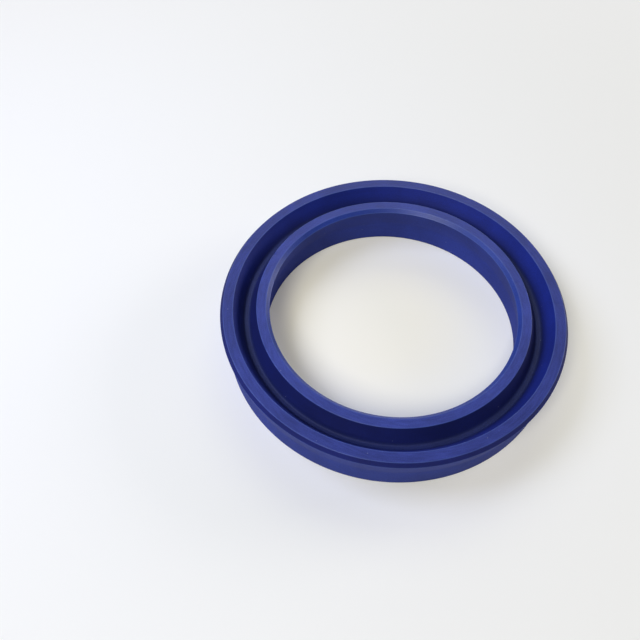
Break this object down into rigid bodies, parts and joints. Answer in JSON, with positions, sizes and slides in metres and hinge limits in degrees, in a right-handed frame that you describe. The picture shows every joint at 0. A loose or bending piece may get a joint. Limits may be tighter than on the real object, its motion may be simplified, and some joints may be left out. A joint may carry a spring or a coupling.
{
  "type": "oil seal",
  "caption": "One-piece U-ring shaft seal with two flared lips, a groove between them and a flat heel.",
  "frame": {"origin": "centre of the heel face, on the ring's axis, at the lowest plane", "axes": "+Z along the ring's axis, from the heel face towards the lips and the open side of the groove"},
  "size_m": [0.067, 0.067, 0.01],
  "materials": {
    "polyurethane": "satin royal blue moulded polyurethane"
  },
  "bodies": {
    "root": {"seal_ring": "polyurethane"}
  },
  "joints": []
}
